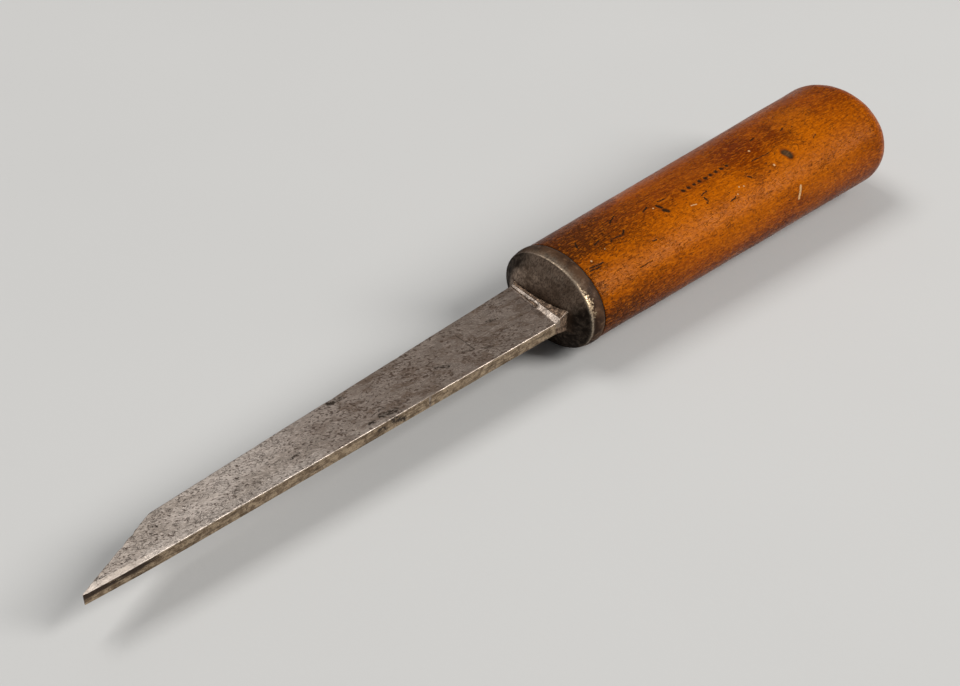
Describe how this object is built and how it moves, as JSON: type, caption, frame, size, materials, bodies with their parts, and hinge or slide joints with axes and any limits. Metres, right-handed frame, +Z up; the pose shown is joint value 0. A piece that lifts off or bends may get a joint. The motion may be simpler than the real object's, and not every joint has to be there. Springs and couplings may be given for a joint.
{
  "type": "mortise chisel",
  "caption": "Deep, narrow bevelled blade, oval iron bolster over a leather washer, and oval wooden handle with a rounded butt, for chopping mortises.",
  "frame": {"origin": "under the middle of the whole tool as it lies on its side, at the lowest point of the handle", "axes": "+X along the tool from the cutting edge to the butt, +Z up, out of the blade's wide side; the narrow front face, which carries the hard steel, looks towards -Y"},
  "size_m": [0.3112, 0.0424, 0.0343],
  "materials": {
    "blade_iron": "old ground wrought iron, grey, pitted and scratched, browner towards the bolster",
    "laid_steel": "worn, honed hard steel, brighter than the body near the cutting edge",
    "bolster_iron": "dark forged iron with a bright worn rim",
    "washer_leather": "hard, compressed and nearly black with age",
    "handle_wood": "oiled and waxed beech, orange-brown, darkened near the bolster, dented and stained"
  },
  "bodies": {
    "root": {"blade_body": "blade_iron", "cutting_steel": "laid_steel", "bolster": "bolster_iron", "leather_washer": "washer_leather", "handle": "handle_wood"}
  },
  "joints": []
}
